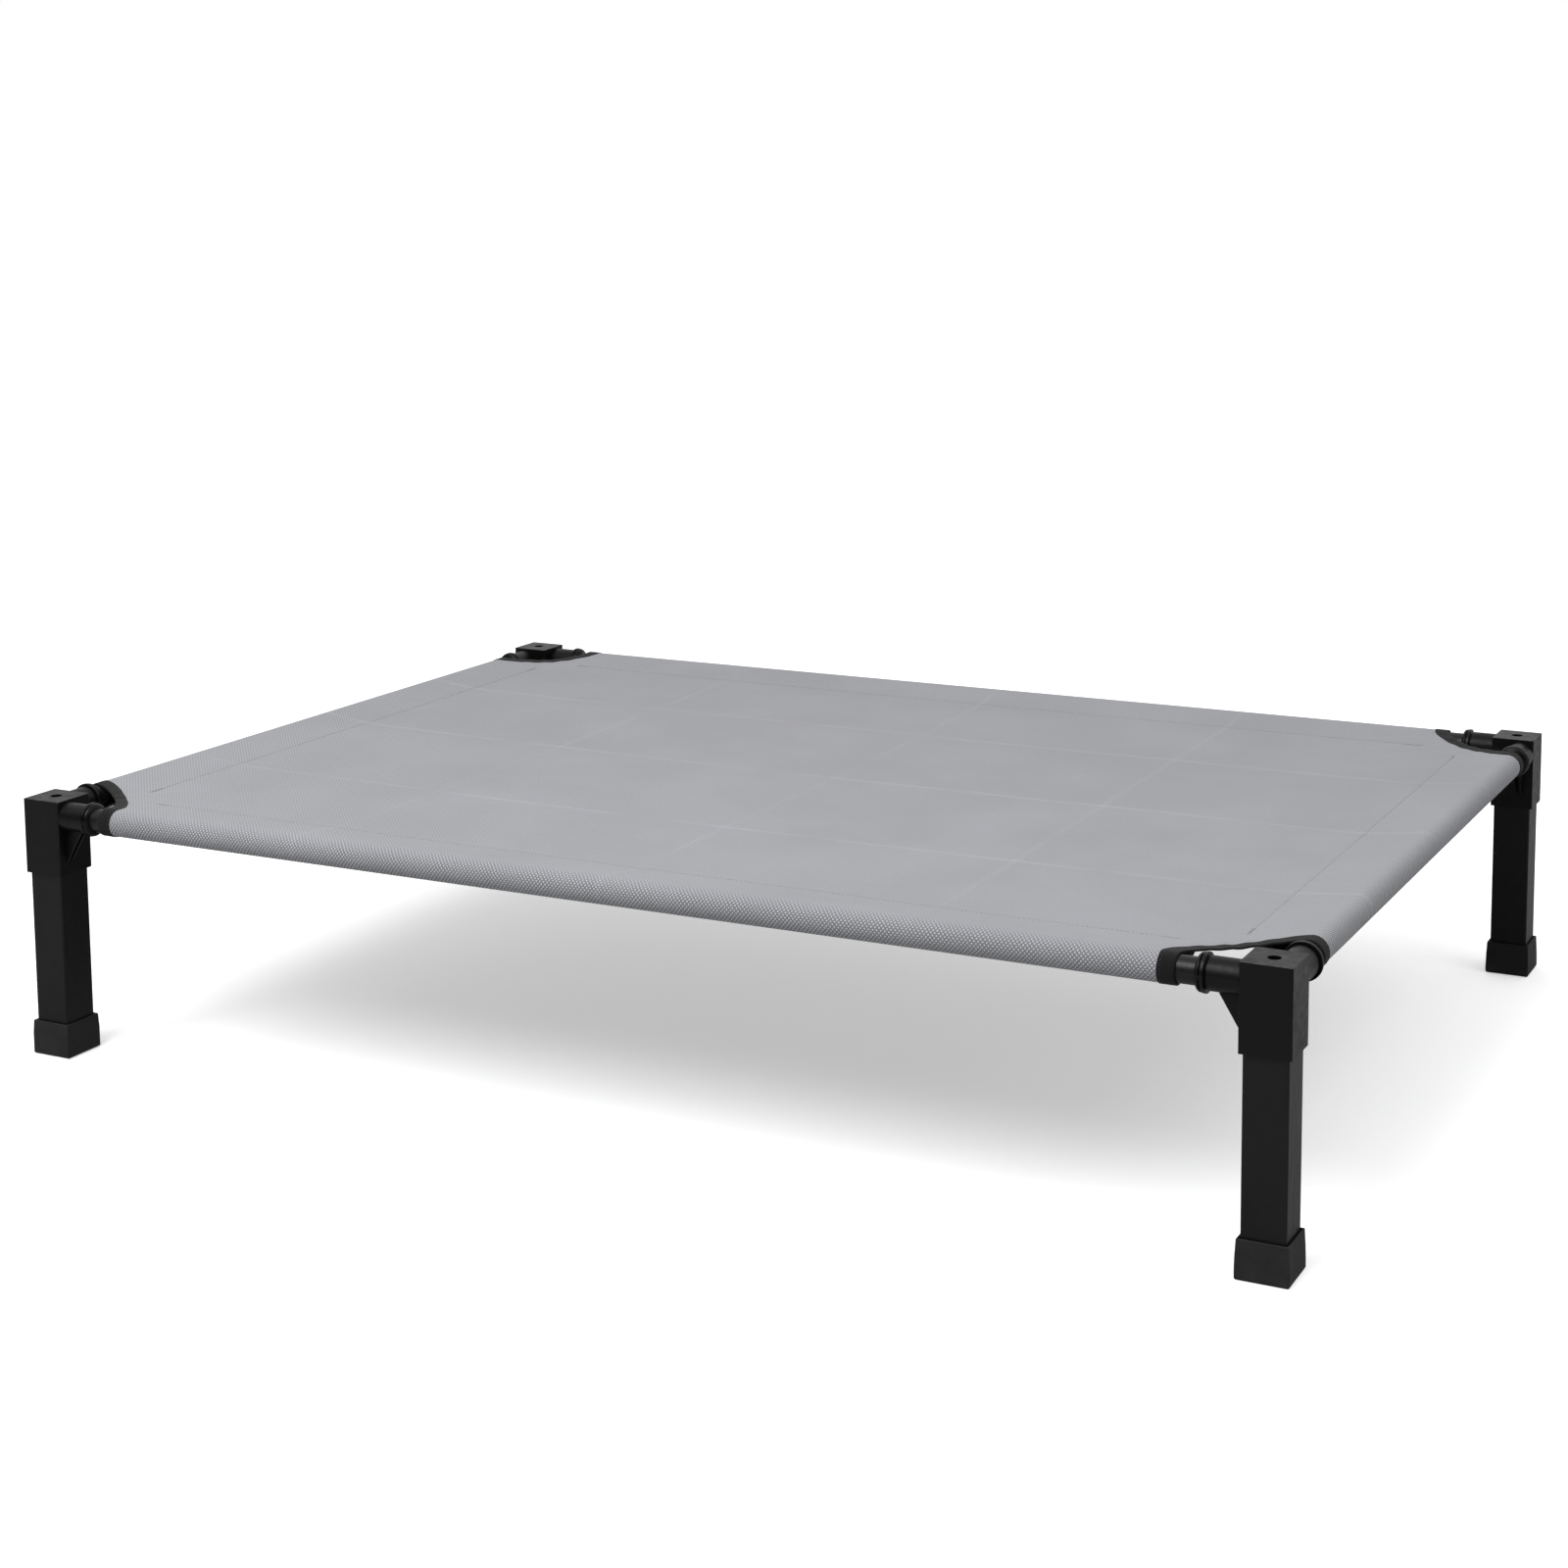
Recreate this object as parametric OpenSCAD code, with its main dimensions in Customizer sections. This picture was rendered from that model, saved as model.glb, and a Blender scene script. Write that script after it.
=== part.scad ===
// Raised pet cot: a woven cover stretched over four round tubes. Each corner has a
// moulded connector that holds two tubes, a square leg below it and a rubber foot.
// X runs along the length, Y towards the back and Z up. The origin is on the floor,
// under the middle of the cot.

/* [Cot] */
// Distance between the leg centres along the length
leg_span_x = 1030; // [700:1:1300]
// Distance between the leg centres along the depth
leg_span_y = 722; // [450:1:950]
// Height of the connector tops above the floor
cot_height = 215; // [150:1:320]

/* [Connectors] */
// Side of the square connector block
block_side = 36.4; // [36:0.1:40]
// Height of the connector block
block_height = 61.5; // [58:0.5:90]
// Radius of the upright edges of the block
block_edge_radius = 0.9; // [0.5:0.1:1.5]
// Depth of the square socket that takes the leg
leg_socket_depth = 36; // [20:1:36]
// Outside diameter of the round arms that hold the tubes
arm_diameter = 23.4; // [22:0.1:24]
// Length of each arm from the face of the block
arm_length = 22; // [20:0.5:28]
// Drop from the connector tops to the tube axes
axis_drop = 13.8; // [13.8:0.1:14.5]
// Diameter of the hole that takes an accessory pole
pole_hole_diameter = 9.5; // [6:0.5:12]
// Reach of the gusset below each arm
gusset_reach = 15.6; // [8:0.1:18]
// Height of the gusset below each arm
gusset_drop = 25.5; // [10:0.5:30]
// Overall thickness of the gusset, across its two ribs
gusset_width = 6.8; // [6:0.1:10]
// Thickness of each gusset rib
gusset_rib = 1.7; // [1.2:0.1:2.5]

/* [Tubes] */
// Outside diameter of the tubes
tube_diameter = 19.05; // [18:0.05:19.05]
// Wall of the tubes
tube_wall = 1.2; // [0.8:0.1:2]
// How far the tube ends pass the face of the block
tube_seat = 6; // [2:0.5:7]

/* [Collars] */
// Diameter of the collar's stop ring
collar_diameter = 27.6; // [26:0.1:27.6]
// Length of the collar along the tube
collar_length = 8.6; // [8:0.1:9]
// Width of the four bridges across the collar's groove
collar_bridge = 3; // [1:0.5:5]

/* [Legs] */
// Side of the square leg tube
leg_side = 31.75; // [28:0.05:31.75]
// Wall of the leg tube
leg_wall = 1.6; // [1:0.1:2.5]
// Radius of the leg's upright edges
leg_edge_radius = 1.5; // [1:0.1:3]

/* [Feet] */
// Height of the rubber foot
foot_height = 28.5; // [15:0.5:40]
// Side of the foot at its rim
foot_rim_side = 36; // [35.6:0.1:38]
// Side of the foot at the floor
foot_base_side = 38.6; // [36:0.1:40]
// Thickness of rubber under the leg
foot_floor = 4; // [2:0.5:8]
// Width of the open groove between the foot's rim and the leg
rim_groove = 1; // [0.4:0.1:1.2]

/* [Cover] */
// Thickness of the woven fabric
fabric = 0.9; // [0.6:0.1:1]
// Slip of the front and back sleeves along their tubes, towards -X
cover_slip = 2; // [-4:0.5:4]
// Distance from the leg centres to the open ends of the front and back sleeves
long_sleeve_end = 61; // [56:0.5:68]
// Distance from the leg centres to the open ends of the left and right sleeves
short_sleeve_end = 56; // [54:0.5:66]
// Distance from the tube axes to the hem seams
hem_reach = 46; // [30:1:60]
// Width of the tape that binds each cut corner, where it is wrapped round a sleeve
binding_width = 11.5; // [8:0.5:16]
// Distance of the corner edge's middle from the leg centre, along X and along Y
corner_middle = 33; // [31:0.5:36]

/* [Hidden] */
CORNERS = [
    ["fl", -1, -1],
    ["fr", 1, -1],
    ["bl", -1, 1],
    ["br", 1, 1]
];
$fn = 96;

// Radial gap of a push fit, and the gap that keeps cloth clear of what it covers
push_gap = 0.1;
cloth_gap = 0.3;
// How far shapes reach into the ones they join, and cutting shapes past the ones they cut
overlap = 1;
// Depth of the groove in the top of a foot
groove_depth = 2.5;
// Thickness of the tape on a sleeve, and height of the strip across the corner
binding_thickness = 0.6;
binding_drop = 2.4;

tube_radius = tube_diameter / 2;
arm_radius = arm_diameter / 2;
// The arms lie flush with the outer faces of the block
arm_offset = block_side / 2 - arm_radius;
axis_x = leg_span_x / 2 + arm_offset;
axis_y = leg_span_y / 2 + arm_offset;
axis_z = cot_height - axis_drop;
block_bottom = cot_height - block_height;
leg_top = block_bottom + leg_socket_depth;
sleeve_inner = tube_radius + cloth_gap;
sleeve_outer = sleeve_inner + fabric;
sheet_top = axis_z + sleeve_outer;
binding_inner = sleeve_outer + push_gap;
binding_outer = binding_inner + binding_thickness;

// ---- helpers ----

// Points of an arc in the plane
function arc(centre, radius, from, to, steps = 6) = [
    for (i = [0 : steps])
        let (a = from + (to - from) * i / steps)
        centre + radius * [cos(a), sin(a)]
];

// Centre of the circle through three points
function circle_centre(p) =
    let (
        square = [for (q = p) q * q],
        next = [1, 2, 0],
        last = [2, 0, 1],
        dx = [for (i = [0 : 2]) p[last[i]][0] - p[next[i]][0]],
        dy = [for (i = [0 : 2]) p[next[i]][1] - p[last[i]][1]]
    )
    [square * dy, square * dx] / (2 * [for (q = p) q[0]] * dy);

// Three points of a line across a cut corner, so far in from the cover's free edge. They
// are distances from the leg centre towards the middle of the cot: on the long tube, near
// the diagonal and on the short tube. The middle one moves along X and Y by a share of the
// inset, because the stretched tape gets narrower there.
function corner_line(sx, inset, share = 0.5) = [
    [long_sleeve_end + sx * cover_slip + inset, -arm_offset],
    [corner_middle + sx * cover_slip / 2 + share * inset, corner_middle + share * inset],
    [-arm_offset, short_sleeve_end + inset]
];

// Square with round corners, built from squares and circles so that it stays exact
module round_square(side, radius) {
    square([side, side - 2 * radius], center = true);
    square([side - 2 * radius, side], center = true);
    for (sx = [-1, 1], sy = [-1, 1])
        translate([sx, sy] * (side / 2 - radius))
            circle(r = radius);
}

// Puts a shape made for the corner at +X +Y on the corner (sx, sy)
module at_corner(sx, sy) {
    mirror([sx < 0 ? 1 : 0, 0, 0])
        mirror([0, sy < 0 ? 1 : 0, 0])
            translate([leg_span_x / 2, leg_span_y / 2, 0])
                children();
}

// Stands a shape on the face of the block, its +Z along the arm that points to -X
module on_long_arm() {
    translate([-block_side / 2, arm_offset, axis_z])
        rotate([0, -90, 0])
            children();
}

// The same for the arm that points to -Y
module on_short_arm() {
    translate([arm_offset, -block_side / 2, axis_z])
        rotate([90, 0, 0])
            children();
}

// ---- connectors ----

// Two triangular ribs below an arm that points to -X, side by side with a slot between
module gusset() {
    lower_end = axis_z - arm_radius - gusset_drop;
    profile = [
        [block_side / 2 - overlap, axis_z - arm_radius / 2],
        [block_side / 2 + gusset_reach, axis_z - arm_radius / 2],
        [block_side / 2 + gusset_reach, axis_z - arm_radius],
        [block_side / 2, lower_end],
        [block_side / 2 - overlap, lower_end]
    ];
    for (side = [-1, 1])
        translate([0, arm_offset + side * (gusset_width - gusset_rib) / 2 + gusset_rib / 2, 0])
            rotate([90, 0, 0])
                linear_extrude(gusset_rib)
                    mirror([1, 0])
                        polygon(profile);
}

module connector_body() {
    translate([0, 0, block_bottom])
        linear_extrude(block_height)
            round_square(block_side, block_edge_radius);
    on_long_arm() cylinder(r = arm_radius, h = arm_length);
    on_short_arm() cylinder(r = arm_radius, h = arm_length);
    gusset();
    mirror([1, -1, 0]) gusset();
}

module tube_socket() {
    translate([0, 0, -tube_seat])
        cylinder(r = tube_radius + push_gap, h = tube_seat + arm_length + overlap);
}

module connector(sx, sy) {
    color("#2b2b2c")
        at_corner(sx, sy)
            difference() {
                connector_body();
                on_long_arm() tube_socket();
                on_short_arm() tube_socket();
                translate([0, 0, block_bottom - overlap])
                    linear_extrude(leg_socket_depth + overlap)
                        round_square(leg_side + 2 * push_gap, leg_edge_radius);
                translate([0, 0, leg_top - overlap])
                    cylinder(d = pole_hole_diameter, h = cot_height - leg_top + 2 * overlap);
            }
}

// ---- collars ----

// Half section of a collar: a neck against the arm, the stop ring, a groove, and a
// rounded lip that runs down to the tube. Radius along x, length along y.
function collar_section() =
    let (
        bore = tube_radius + push_gap,
        ring = collar_diameter / 2,
        neck_end = 1.5,
        ring_end = 4.2,
        lip_start = 5.3,
        soft = 0.5,
        neck = arm_radius - 1.2,
        groove_floor = ring - 2.4,
        lip = ring - 0.4,
        lip_radius = 2.9,
        end_chamfer = 0.4
    )
    concat(
        [[bore, 0], [neck, 0], [neck, neck_end]],
        arc([ring - soft, neck_end + soft], soft, -90, 0, 3),
        arc([ring - soft, ring_end - soft], soft, 0, 90, 3),
        [[groove_floor, ring_end], [groove_floor, lip_start]],
        arc([lip - lip_radius, lip_start], lip_radius, 0, 75, 6),
        [[bore + end_chamfer, collar_length], [bore, collar_length]]
    );

module collar() {
    arm_gap = 0.2;
    // The bridges start inside the ring, end inside the lip and lie a little below the ring
    bridge_base = 3;
    bridge_span = 3;
    bridge_root = tube_radius + overlap;
    bridge_top = collar_diameter / 2 - 0.6;
    color("#303031")
        translate([0, 0, arm_length + arm_gap]) {
            rotate_extrude()
                polygon(collar_section());
            for (turn = [0 : 90 : 270])
                rotate([0, 0, turn])
                    translate([bridge_root, -collar_bridge / 2, bridge_base])
                        cube([bridge_top - bridge_root, collar_bridge, bridge_span]);
        }
}

module collar_long(sx, sy) {
    at_corner(sx, sy) on_long_arm() collar();
}

module collar_short(sx, sy) {
    at_corner(sx, sy) on_short_arm() collar();
}

// ---- tubes ----

module tube(length) {
    color("#3a3a3c")
        difference() {
            cylinder(r = tube_radius, h = length, center = true);
            cylinder(r = tube_radius - tube_wall, h = length + 2 * overlap, center = true);
        }
}

module tube_along_x(sy) {
    translate([0, sy * axis_y, axis_z])
        rotate([0, 90, 0])
            tube(leg_span_x - block_side + 2 * tube_seat);
}

module tube_along_y(sx) {
    translate([sx * axis_x, 0, axis_z])
        rotate([90, 0, 0])
            tube(leg_span_y - block_side + 2 * tube_seat);
}

// ---- legs and feet ----

module leg(sx, sy) {
    color("#262627")
        at_corner(sx, sy)
            translate([0, 0, foot_floor])
                linear_extrude(leg_top - foot_floor)
                    difference() {
                        round_square(leg_side, leg_edge_radius);
                        square(leg_side - 2 * leg_wall, center = true);
                    }
}

// Side view of the foot: it widens towards the floor, with round lower and upper edges
module foot_profile() {
    base = foot_base_side / 2;
    rim = foot_rim_side / 2;
    base_round = 3;
    rim_round = 0.5;
    right = concat(
        arc([base - base_round, base_round], base_round, -90, 0),
        arc([rim - rim_round, foot_height - rim_round], rim_round, 0, 90, 4)
    );
    count = len(right);
    polygon(concat(right, [for (i = [1 : count]) [-right[count - i][0], right[count - i][1]]]));
}

// What a side view leaves when it is cut through along X and along Y
module for_both_sides() {
    depth = foot_base_side + 2 * overlap;
    intersection() {
        rotate([90, 0, 0]) linear_extrude(depth, center = true) children();
        rotate([90, 0, 90]) linear_extrude(depth, center = true) children();
    }
}

module foot(sx, sy) {
    upright_round = 2.6;
    color("#38383a")
        at_corner(sx, sy)
            difference() {
                intersection() {
                    linear_extrude(foot_height)
                        round_square(foot_base_side, upright_round);
                    for_both_sides() foot_profile();
                }
                translate([0, 0, foot_floor])
                    linear_extrude(foot_height)
                        round_square(leg_side + 2 * push_gap, leg_edge_radius);
                translate([0, 0, foot_height - groove_depth])
                    linear_extrude(groove_depth + overlap)
                        round_square(leg_side + 2 * rim_groove, leg_edge_radius);
            }
}

// ---- cover ----

// Disc whose edge is a line across the cut corner, grown by a margin
module corner_disc(sx, inset, margin = 0) {
    line = corner_line(sx, inset);
    centre = circle_centre(line);
    translate(-centre)
        circle(r = norm(line[0] - centre) + margin);
}

// Takes the four corners off the sheet, along the inner edges of the bindings
module corner_cuts() {
    for (c = CORNERS)
        at_corner(c[1], c[2])
            linear_extrude(cot_height)
                corner_disc(c[1], binding_width, cloth_gap);
}

// Section of a hem: the cloth that comes back up from below the tube to the seam.
// Distance from the tube's axis along x, height from it along y.
module hem_section() {
    seam = [hem_reach, sleeve_outer - 1.5 * fabric];
    normal_angle = atan2(seam[1], seam[0]) - acos(sleeve_outer / norm(seam));
    normal = [cos(normal_angle), sin(normal_angle)];
    polygon([sleeve_outer * normal, seam, seam - fabric * normal, sleeve_inner * normal]);
}

module sleeve_section() {
    difference() {
        circle(r = sleeve_outer);
        circle(r = sleeve_inner);
    }
}

// Runs a section of the front side along X, and turns it to each of the four sides. It
// stops short of the leg centres by long_trim along X and by short_trim along Y.
module on_each_side(long_trim, short_trim, slip = 0) {
    for (turn = [0, 180])
        rotate([0, 0, turn]) {
            translate([turn == 0 ? -slip : slip, -axis_y, axis_z])
                rotate([90, 0, 90])
                    linear_extrude(leg_span_x - 2 * long_trim, center = true)
                        children();
            rotate([0, 0, 90])
                translate([0, -axis_x, axis_z])
                    rotate([90, 0, 90])
                        linear_extrude(leg_span_y - 2 * short_trim, center = true)
                            children();
        }
}

module cover() {
    // The hems run on into the cut corners, which trim them
    hem_overrun = 10;
    color("#a6a8ac") {
        difference() {
            union() {
                translate([0, 0, sheet_top - fabric])
                    linear_extrude(fabric)
                        square([2 * axis_x, 2 * axis_y], center = true);
                on_each_side(long_sleeve_end - hem_overrun, short_sleeve_end - hem_overrun)
                    hem_section();
            }
            corner_cuts();
        }
        on_each_side(long_sleeve_end, short_sleeve_end, cover_slip) sleeve_section();
    }
}

// ---- corner bindings ----

// Tape around the end of a sleeve, so far out along its arm from the block
module binding_band(reach) {
    translate([0, 0, reach - block_side / 2])
        difference() {
            cylinder(r = binding_outer, h = binding_width);
            translate([0, 0, -overlap])
                cylinder(r = binding_inner, h = binding_width + 2 * overlap);
        }
}

// Flat tongue from the top of the band on the long tube to the strip
module binding_tongue(reach) {
    tongue = binding_outer + cloth_gap + 3 * overlap;
    translate([-reach - binding_width, arm_offset - tongue, axis_z + binding_inner])
        cube([binding_width, tongue, binding_thickness]);
}

// Curved strip across the cut corner, kept clear of the sleeves
module binding_strip(sx) {
    clear = binding_inner + cloth_gap - arm_offset;
    size = 2 * long_sleeve_end;
    intersection() {
        difference() {
            corner_disc(sx, binding_width);
            corner_disc(sx, 0);
        }
        translate([-clear - size, -clear - size]) square(size);
    }
}

module corner_binding(sx, sy) {
    long_reach = long_sleeve_end + sx * cover_slip;
    color("#1f1f20")
        at_corner(sx, sy) {
            on_long_arm() binding_band(long_reach);
            on_short_arm() binding_band(short_sleeve_end);
            binding_tongue(long_reach);
            mirror([1, -1, 0]) binding_tongue(short_sleeve_end);
            translate([0, 0, axis_z + binding_outer - binding_drop])
                linear_extrude(binding_drop)
                    binding_strip(sx);
        }
}

// ---- the cot ----

cover();
for (c = CORNERS) {
    corner_binding(c[1], c[2]);
    connector(c[1], c[2]);
    collar_long(c[1], c[2]);
    collar_short(c[1], c[2]);
    leg(c[1], c[2]);
    foot(c[1], c[2]);
}
tube_along_x(-1);  // tube_front
tube_along_x(1);  // tube_back
tube_along_y(-1);  // tube_left
tube_along_y(1);  // tube_right
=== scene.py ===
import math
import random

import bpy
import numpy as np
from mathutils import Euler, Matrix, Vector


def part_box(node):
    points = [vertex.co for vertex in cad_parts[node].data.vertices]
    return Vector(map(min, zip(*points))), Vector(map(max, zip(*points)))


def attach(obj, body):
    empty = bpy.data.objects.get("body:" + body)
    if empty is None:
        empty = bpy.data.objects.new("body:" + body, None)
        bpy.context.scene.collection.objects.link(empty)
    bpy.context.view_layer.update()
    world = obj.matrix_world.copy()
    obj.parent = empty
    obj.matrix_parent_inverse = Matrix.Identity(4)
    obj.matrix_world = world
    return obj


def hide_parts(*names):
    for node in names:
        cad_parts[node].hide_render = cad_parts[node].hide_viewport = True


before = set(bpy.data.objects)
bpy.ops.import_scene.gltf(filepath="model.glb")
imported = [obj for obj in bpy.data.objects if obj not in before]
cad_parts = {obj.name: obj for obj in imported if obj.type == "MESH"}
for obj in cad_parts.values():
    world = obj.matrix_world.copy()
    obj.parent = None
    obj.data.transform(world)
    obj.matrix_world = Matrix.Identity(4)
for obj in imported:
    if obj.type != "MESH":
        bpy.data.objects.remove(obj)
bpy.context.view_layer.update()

# Looks of a raised pet cot. The frame's tubes, connectors, collars, legs and feet stay as
# they are and get soft edges and materials. The cover, the tape on its four cut corners and
# the sewing are modelled here. Units are metres, +X runs along the cot and +Y to its back.
#
# The cover is cut from one flat piece, so most of this script works on that flat pattern:
# (a, b) are distances along and across the cloth from its middle, and cloth_point() says
# where the pattern point lies once the cover is on its tubes.

MM = 0.001


# ---- driving sizes, from the frame ----

def middle(node):
    low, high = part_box(node)
    return (low + high) / 2


AXIS_X = middle("tube_right").x
AXIS_Y = middle("tube_back").y
AXIS_Z = middle("tube_back").z
TUBE_RADIUS = (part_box("tube_back")[1].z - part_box("tube_back")[0].z) / 2
CORNERS = {"fl": (-1, -1), "fr": (1, -1), "bl": (-1, 1), "br": (1, 1)}

# Cloth and tape
CLOTH = 0.75 * MM
TAPE = 0.45 * MM
TAPE_WIDTH = 11.5 * MM
TAPE_GAP = 0.05 * MM
# The tape is stretched, and so narrower, in the middle of a cut corner
TAPE_MIDDLE_WIDTH = 8.5 * MM
CLOTH_RADIUS = TUBE_RADIUS + 0.93 * MM
CLOTH_TOP = AXIS_Z + CLOTH_RADIUS

# Hem: distances inward from the tube's axis
SEAM = 46 * MM
HEM_FOLD = 49 * MM
HEM_EDGE = 38.5 * MM
LAYER = CLOTH + 0.1 * MM

# How far the cloth lies below the tops of the tubes
SEAM_DROP = 5.4 * MM
SAG = 3.0 * MM

# Distance of a cut corner's edge from both tube axes, at its middle
SCOOP = 39.5 * MM
# Width of the strip of the pattern that follows the cut edge
EDGE_STRIP = 15 * MM


def open_end(corner, axis):
    """Distance from the crossing tube's axis to the open end of a sleeve, along X (0) or Y (1)."""
    low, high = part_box("corner_binding_" + corner)
    inner = min(abs(low[axis]), abs(high[axis]))
    return (AXIS_X, AXIS_Y)[axis] - inner - TAPE_WIDTH


MOUTHS = {corner: (open_end(corner, 0), open_end(corner, 1)) for corner in CORNERS}


# ---- the mounted cloth ----

def soft_min(a, b, blend):
    """The smaller of a and b, with a round corner between them."""
    return np.minimum(a, b) - blend * np.log1p(np.exp(-np.abs(a - b) / blend))


def ripple(x, y, length, seed, waves=7):
    """A smooth random surface from -1 to 1, whose bumps are about one length apart."""
    pick = random.Random(seed)
    total = 0
    for _ in range(waves):
        turn = pick.uniform(0, math.pi)
        size = 2 * math.pi / (length * pick.uniform(0.7, 1.5))
        phase = size * (x * math.cos(turn) + y * math.sin(turn)) + pick.uniform(0, 6.3)
        total = total + np.sin(phase)
    return total / waves


# Folds left by packing: direction (0 runs along X, 1 along Y), place and height
PACKING_FOLDS = [
    (0, -0.184, 0.7 * MM),
    (0, 0.006, -0.8 * MM),
    (0, 0.179, 0.7 * MM),
    (1, -0.262, 0.40 * MM),
    (1, 0.012, -0.35 * MM),
    (1, 0.258, 0.35 * MM),
]
FOLD_WIDTH = 6.5 * MM
# A fold wanders off its straight line in slow waves: how far, at how many radians per metre,
# and how much the waves of one fold are shifted against those of another
FOLD_WANDER = 1.2 * MM
FOLD_WAVES = 9
FOLD_PHASE = 40


def packing_folds(x, y):
    """Height that the packing folds add to the sheet."""
    total = 0
    for along_y, place, height in PACKING_FOLDS:
        across, run = (x, y) if along_y else (y, x)
        wander = FOLD_WANDER * np.sin(run * FOLD_WAVES + place * FOLD_PHASE)
        fade = 0.75 + 0.25 * np.sin(run * 14 + place * 90)
        total = total + height * fade * np.exp(-np.abs(across - place - wander) / FOLD_WIDTH)
    return total


GROOVE_DEPTH = 0.42 * MM
GROOVE_WIDTH = 1.5 * MM
PUCKER_HEIGHT = 0.32 * MM
PUCKER_LENGTH = 17 * MM
PUCKER_REACH = 8 * MM


def seam_relief(across, along, start, seed):
    """The groove that a row of stitches pulls into the cloth, and the puckers beside it."""
    sewn = 1 / (1 + np.exp(-(along - start) / GROOVE_WIDTH))
    groove = -GROOVE_DEPTH * np.exp(-((across / GROOVE_WIDTH) ** 2))
    pucker = PUCKER_HEIGHT * ripple(along, across * 0.2, PUCKER_LENGTH, seed)
    return sewn * (groove + pucker * np.exp(-np.abs(across) / PUCKER_REACH))


WRINKLE_HEIGHT = 0.5 * MM
WRINKLE_REACH = 110 * MM
WRINKLE_COUNT = 23
WRINKLE_START = 40 * MM


def corner_pull(x, y, side, end):
    """Faint wrinkles that run from each corner towards the middle of the sheet."""
    reach = np.hypot(side, end)
    turn = np.arctan2(end, side)
    start = np.minimum(soft_min(side, end, 4 * MM) / WRINKLE_START, 1)
    wander = 3 * ripple(x, y, 180 * MM, seed=5)
    waves = np.sin(turn * WRINKLE_COUNT + wander)
    return WRINKLE_HEIGHT * np.exp(-reach / WRINKLE_REACH) * start * waves


# The sheet has its full relief from this far inward of a tube's axis
CALM_EDGE = 18 * MM
UNEVEN_HEIGHT = 0.35 * MM
UNEVEN_LENGTH = 150 * MM
# A seam begins this far from the tube that it runs towards
SEAM_START = 75 * MM


def panel_height(x, y):
    """Height of the sheet's middle surface over the ground plan."""
    side = AXIS_X - np.abs(x)
    end = AXIS_Y - np.abs(y)
    inward = np.maximum(soft_min(side, end, 9 * MM), 0)
    lead = CLOTH_RADIUS * SEAM_DROP / SEAM
    run = soft_min(np.hypot(inward, lead) - lead, SEAM, 6 * MM)
    calm = np.clip(inward / CALM_EDGE, 0, 1)
    sag = SAG * np.cos(math.pi / 2 * x / AXIS_X) * np.cos(math.pi / 2 * y / AXIS_Y)
    return (
        CLOTH_TOP
        - SEAM_DROP * run / SEAM
        - sag
        + calm * packing_folds(x, y)
        + calm * UNEVEN_HEIGHT * ripple(x, y, UNEVEN_LENGTH, seed=11)
        + corner_pull(x, y, side, end)
        + seam_relief(side - SEAM, end, SEAM_START, seed=21)
        + seam_relief(end - SEAM, side, SEAM_START, seed=22)
    )


ARC_STEPS = 160
FLAP_STEPS = 12
FOLD_STEPS = 8


def wrap_table():
    """The way of the cloth round a tube and back to the seam, seen along the tube.

    Returns the length from the tube's top, the distance inward from the tube's axis, the height
    over it, and how much that height follows the sheet above.
    """
    def sheet_over(inward):
        return CLOTH_RADIUS - SEAM_DROP * min(inward, SEAM) / SEAM

    # the flap below the tube meets the sheet here, after it has left the tube at a tangent
    meet = HEM_EDGE + 1 * MM
    meet_height = sheet_over(meet) - 2 * LAYER
    lean = math.atan2(meet_height, meet) - math.acos(CLOTH_RADIUS / math.hypot(meet_height, meet))
    last = 1.5 * math.pi + lean
    path = []
    for step in range(ARC_STEPS + 1):
        turn = last * step / ARC_STEPS
        path.append((-CLOTH_RADIUS * math.sin(turn), CLOTH_RADIUS * math.cos(turn), 0.0))
    leave = path[-1]
    for step in range(1, FLAP_STEPS + 1):
        share = step / FLAP_STEPS
        path.append((
            leave[0] + share * (meet - leave[0]),
            leave[1] + share * (meet_height - leave[1]),
            share,
        ))
    path.append((HEM_FOLD - LAYER / 2, sheet_over(HEM_FOLD) - 2 * LAYER, 1.0))
    for step in range(1, FOLD_STEPS + 1):
        turn = math.pi * step / FOLD_STEPS
        path.append((
            HEM_FOLD - LAYER / 2 + LAYER / 2 * math.sin(turn),
            sheet_over(HEM_FOLD) - 1.5 * LAYER - LAYER / 2 * math.cos(turn),
            1.0,
        ))
    path.append((HEM_EDGE, sheet_over(HEM_EDGE) - LAYER, 1.0))
    rows = np.array(path)
    steps = np.hypot(np.diff(rows[:, 0]), np.diff(rows[:, 1]))
    return np.concatenate([[0], np.cumsum(steps)]), rows[:, 0], rows[:, 1], rows[:, 2]


WRAP_LENGTH, WRAP_INWARD, WRAP_HEIGHT, WRAP_FOLLOW = wrap_table()
ARC_END = WRAP_LENGTH[ARC_STEPS]
FLAP_END = WRAP_LENGTH[ARC_STEPS + FLAP_STEPS]
FOLD_START = WRAP_LENGTH[ARC_STEPS + FLAP_STEPS + 1]
FOLD_END = WRAP_LENGTH[ARC_STEPS + FLAP_STEPS + 1 + FOLD_STEPS]
WRAP_END = WRAP_LENGTH[-1]


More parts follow.
